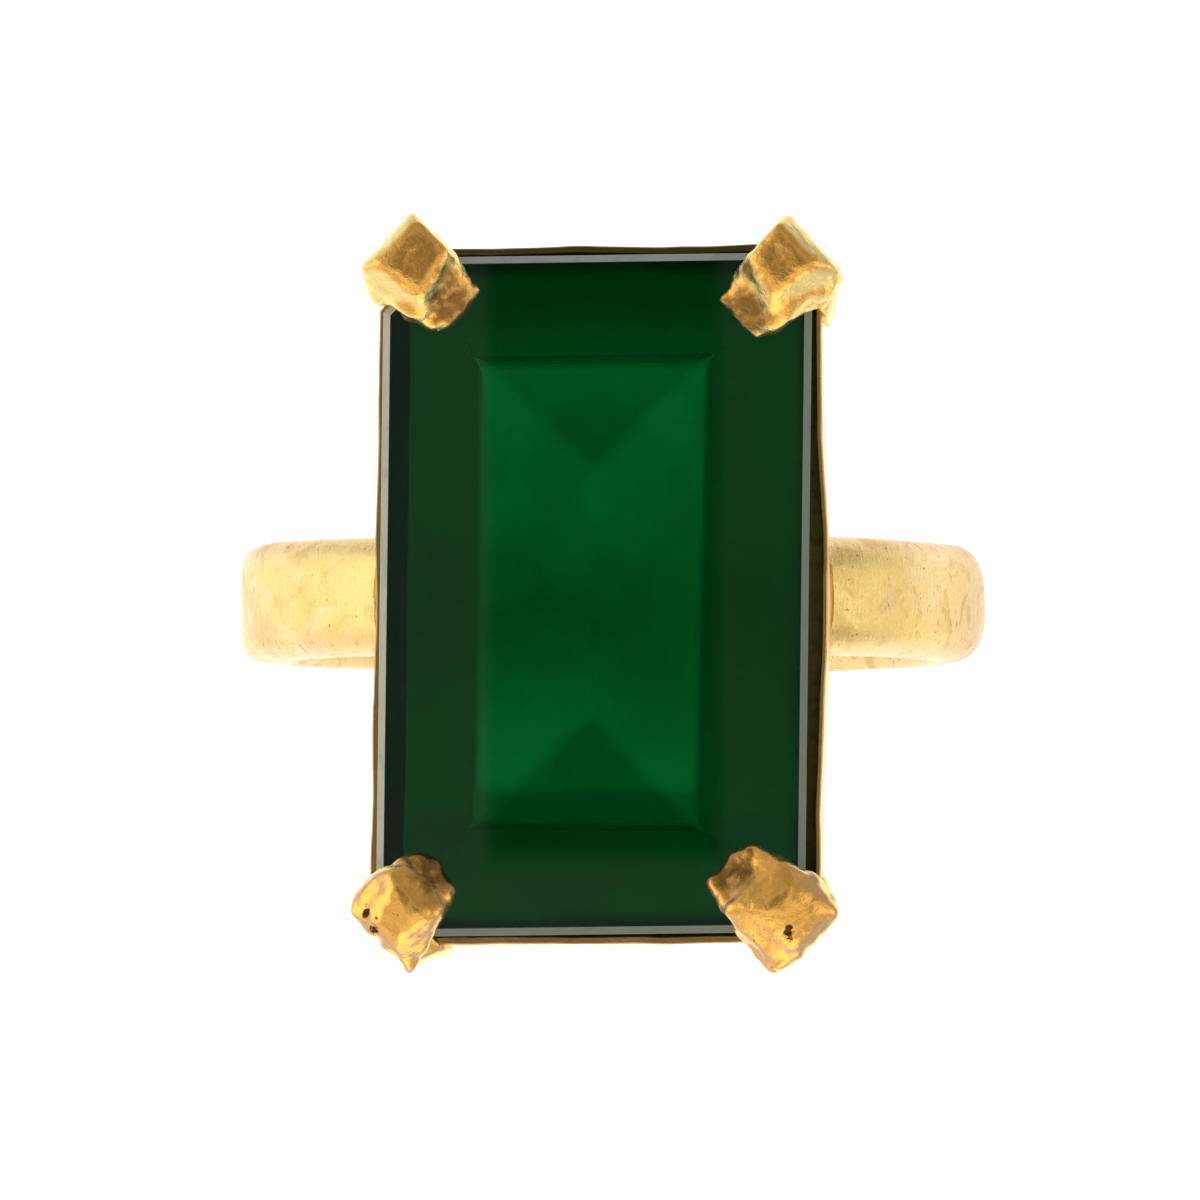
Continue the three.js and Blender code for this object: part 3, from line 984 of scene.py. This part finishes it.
wall_gold = worked_gold("gold_collet", rim_painted_shade=True, dull=0.55, rough=0.32)
inside_gold = dark_gold()
shank_gold = worked_gold("gold_shank", brushed=True, dull=0.5)
run_gold = solder_gold()

cut_stone()
collet_wall(wall_gold, inside_gold)
seat_ledge(inside_gold)
shank_hoop(shank_gold)
solder_run("solder_run_right", "solder_right", 1, run_gold)
solder_run("solder_run_left", "solder_left", -1, run_gold)
for order, node in enumerate(CLAWS):
    claw(node, order)


# ---------------------------------------------------------------- table, tent and lamps

FLOOR_GAP = 0.0001
TENT_TOP_Z = 0.392


def staged(name, bm, finish):
    mesh = bpy.data.meshes.new(name)
    bm.to_mesh(mesh)
    bm.free()
    mesh.materials.append(finish)
    thing = bpy.data.objects.new(name, mesh)
    bpy.context.collection.objects.link(thing)


def set_floor():
    """A white table that glows as painted light, brightest round the ring, dimmer to the right and the back,
    and clear from underneath.
    """
    bm = bmesh.new()
    bmesh.ops.create_circle(bm, cap_ends=True, segments=96, radius=1.2)
    bmesh.ops.translate(bm, vec=(0, 0, cad_box[0][2] - FLOOR_GAP), verts=bm.verts)
    paint = Paint.new("glowing_table")
    x, y, z = paint.split(paint.place())
    out = paint.near(paint.join(x, y, 0.0), (0, 0, 0))
    right_fall, back_fall = x.ease(15.0, 70.0) * 0.42, y.ease(15.0, 70.0) * 0.42
    # painted light: the table's own glow
    glow = (1.0 - out.ease(22.0, 130.0) * 0.46) * (1 - right_fall) * (1 - back_fall)
    finish = paint.surface({
        "Base Color": colour(0.35, 0.35, 0.35), "Roughness": 0.6, "Emission Strength": 1.0,
        "Emission Color": paint.join(glow, glow, glow),
        "Alpha": 1 - paint.add("ShaderNodeNewGeometry", out="Backfacing"),
    })
    staged("table", bm, finish)


def set_ceiling():
    """A grey sheet over the ring that glows as painted light, dim in the middle and brighter further out,
    dark along the slot in it and clear from above.
    """
    bm = bmesh.new()
    bmesh.ops.create_circle(bm, cap_ends=True, segments=96, radius=0.30)
    bmesh.ops.translate(bm, vec=(0.011, -0.011, TENT_TOP_Z), verts=bm.verts)
    paint = Paint.new("tent_top")
    x, y, z = paint.split(paint.place())
    across, along = (x + 11.1).absolute(), (y - 13.6).absolute()
    slot = across.ease(6.7, 5.7) * along.ease(17.2, 15.6)
    out = paint.near(paint.join(x, y, 0.0), (0, 0, 0))
    near_glow = 0.155 - x.ease(-24.0, 0.0) * 0.055 + y.ease(4.0, -8.0) * 0.07
    # painted light: the sheet's glow, with the slot left dark
    glow = (near_glow + out.ease(30.0, 250.0) * (0.45 + y.ease(60.0, -240.0) * 0.55)) * (1 - slot)
    finish = paint.surface({
        "Base Color": colour(0, 0, 0), "Specular IOR Level": 0.0, "Emission Strength": 1.0,
        "Emission Color": paint.join(glow, glow * 0.98, glow * 0.95),
        "Alpha": paint.add("ShaderNodeNewGeometry", out="Backfacing"),
    })
    staged("tent_top", bm, finish)


def set_lamp(name, place, size, power, tint=(1, 1, 1)):
    data = bpy.data.lights.new(name, "AREA")
    data.shape = "RECTANGLE"
    data.size, data.size_y = size
    data.energy = power
    data.color = tint
    lamp = bpy.data.objects.new(name, data)
    lamp.location = place
    lamp.rotation_mode = "QUATERNION"
    lamp.rotation_quaternion = (-Vector(place)).to_track_quat("-Z", "Y")
    bpy.context.collection.objects.link(lamp)


def set_world():
    """A pale tent, bright low down and dimmer towards the top, the right and the back."""
    world = bpy.data.worlds.new("tent")
    paint = Paint(world, "ShaderNodeOutputWorld")
    x, y, z = paint.split(paint.add("ShaderNodeTexCoord", out="Generated"))
    strength = z.ease(0.1, 0.85, 0.95, 0.45) * x.ease(-0.8, 0.8, 1.0, 0.68) * y.ease(0.0, 0.8, 1.0, 0.70)
    paint.surface({"Color": (1, 0.985, 0.96, 1), "Strength": strength}, "ShaderNodeBackground")
    bpy.context.scene.world = world


set_floor()
set_ceiling()
set_world()
set_lamp("front_box", (0.05, -0.45, 0.22), (0.5, 0.3), 0.55, (1, 0.97, 0.92))
set_lamp("left_box", (-0.45, 0.05, 0.25), (0.4, 0.3), 0.35)
set_lamp("right_box", (0.45, 0.0, 0.25), (0.4, 0.3), 0.3)
